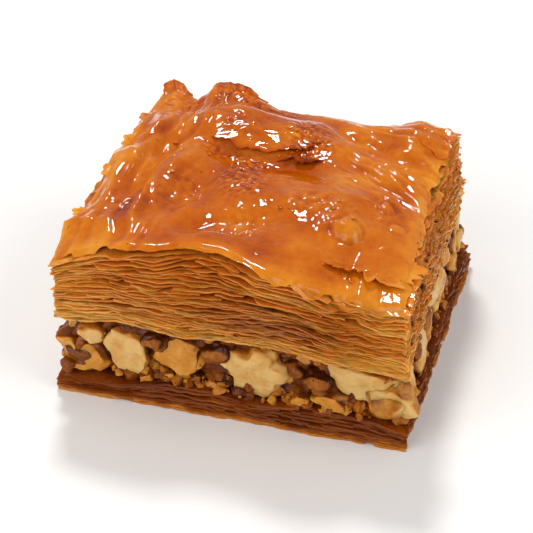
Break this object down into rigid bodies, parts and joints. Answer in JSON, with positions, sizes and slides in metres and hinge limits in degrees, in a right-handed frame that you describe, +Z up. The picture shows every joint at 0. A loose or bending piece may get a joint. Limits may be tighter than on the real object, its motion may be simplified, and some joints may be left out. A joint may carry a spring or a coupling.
{
  "type": "baklava piece",
  "caption": "Square piece of walnut baklava: thin lower stack of syrupy filo, a layer of chopped walnuts, and a thick upper stack with a wavy, flaky, glazed crust.",
  "frame": {"origin": "middle of the flat underside, at the bottom centre of the bounding box", "axes": "+Z up from the underside to the crust; -Y out of the cut face that shows the walnuts best; +X along that face to the right"},
  "size_m": [0.0612, 0.0584, 0.0331],
  "materials": {
    "glazed_filo": "thin baked pastry sheets with a glossy amber syrup glaze on the crust",
    "walnut": "pale chopped walnut with brown skins, wet with syrup",
    "soaked_filo": "pastry sheets soaked dark with syrup, glossy"
  },
  "bodies": {
    "root": {"base_filo": "soaked_filo", "nut_filling": "walnut", "upper_filo": "glazed_filo"}
  },
  "joints": []
}
